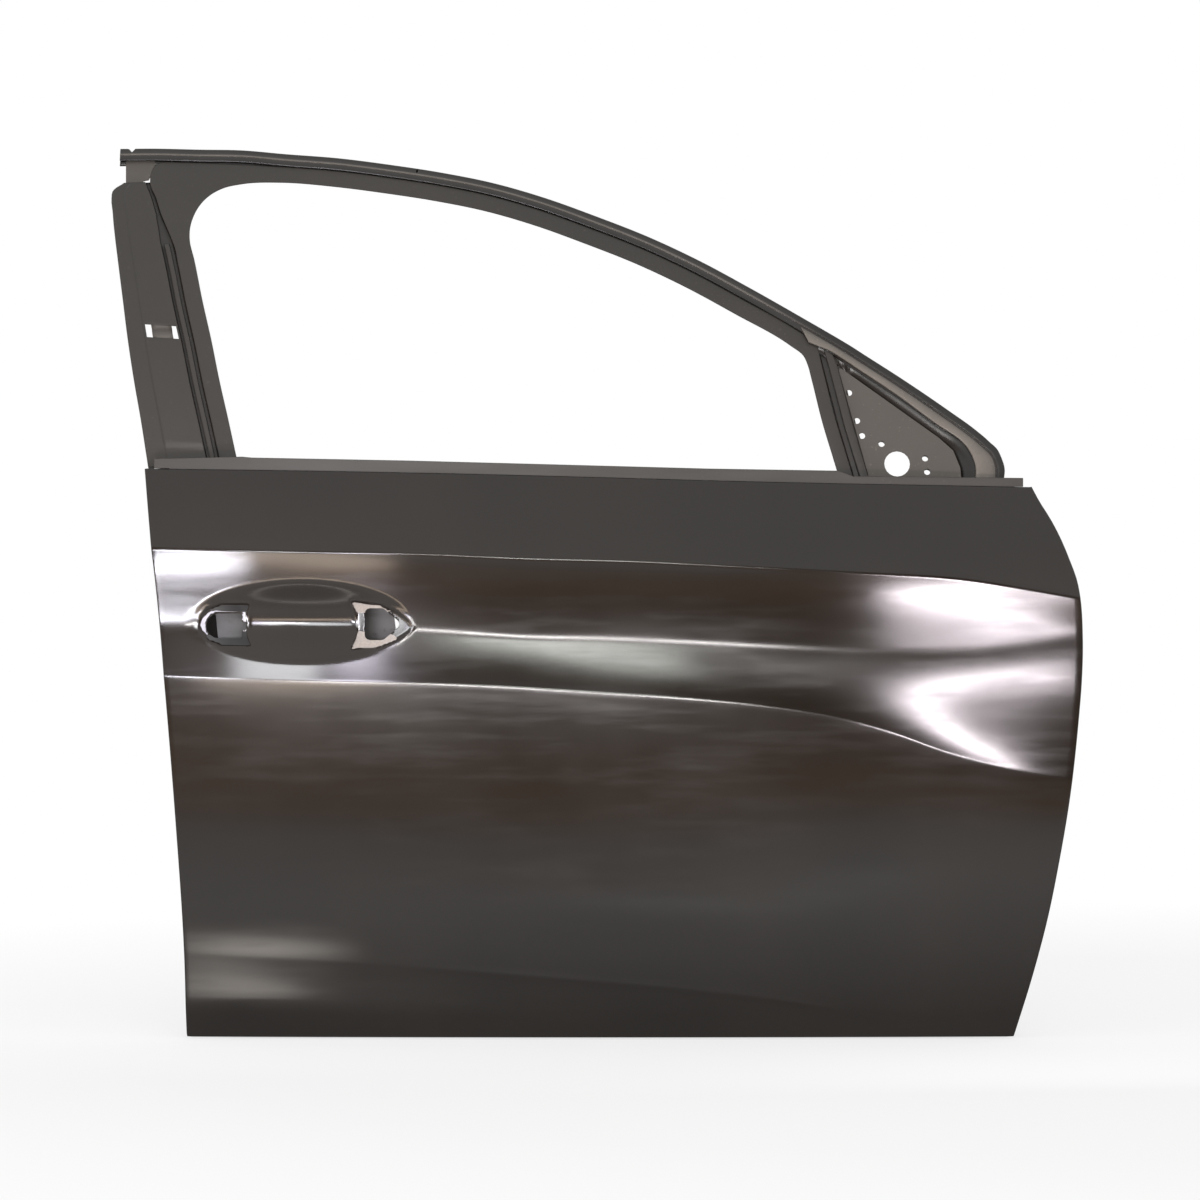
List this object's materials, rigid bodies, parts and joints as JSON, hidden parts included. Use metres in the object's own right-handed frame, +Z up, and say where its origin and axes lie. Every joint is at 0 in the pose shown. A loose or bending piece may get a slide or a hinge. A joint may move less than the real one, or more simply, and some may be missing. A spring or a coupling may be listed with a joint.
{
  "type": "car door shell",
  "caption": "Bare primed front side door shell of a passenger car: creased skin with handle recess, window frame, pillar plate, mirror plate, inner panel, hinge, latch and beam reinforcements.",
  "frame": {"origin": "centre of the flat face that the upper hinge bolts to, on the front shut face", "axes": "+X towards the front of the car, +Y towards the cabin, +Z up; the skin faces -Y"},
  "size_m": [1.1457, 0.2175, 1.0537],
  "materials": {
    "skin_primer": "black dip primer, satin to gloss",
    "inner_primer": "black dip primer, satin",
    "frame_primer": "black dip primer, satin",
    "mastic": "matt"
  },
  "bodies": {
    "root": {"outer_panel": "skin_primer", "inner_panel": "inner_primer", "window_frame": "frame_primer", "header_rail": "frame_primer", "pillar_plate": "frame_primer", "pillar_rib": "frame_primer", "corner_bracket": "frame_primer", "front_brace": "frame_primer", "mirror_plate": "frame_primer", "mirror_rib": "frame_primer", "belt_reinforcement_outer": "frame_primer", "belt_reinforcement_inner": "inner_primer", "frame_foot_rear": "inner_primer", "frame_foot_front": "inner_primer", "glass_guide_rear": "inner_primer", "glass_guide_front": "inner_primer", "hinge_reinforcement_upper": "inner_primer", "hinge_reinforcement_lower": "inner_primer", "check_link_plate": "inner_primer", "latch_reinforcement": "inner_primer", "impact_beam": "inner_primer", "beam_bracket_rear": "inner_primer", "beam_bracket_front": "inner_primer", "skin_stiffener": "inner_primer", "handle_reinforcement": "inner_primer", "armrest_bracket": "inner_primer", "mastic_pad_1": "mastic", "mastic_pad_2": "mastic", "mastic_pad_3": "mastic", "mastic_pad_4": "mastic", "upper_hinge_nut_1": "inner_primer", "upper_hinge_nut_2": "inner_primer", "lower_hinge_nut_1": "inner_primer", "lower_hinge_nut_2": "inner_primer", "mirror_nut_1": "inner_primer", "mirror_nut_2": "inner_primer", "mirror_nut_3": "inner_primer"}
  },
  "joints": []
}
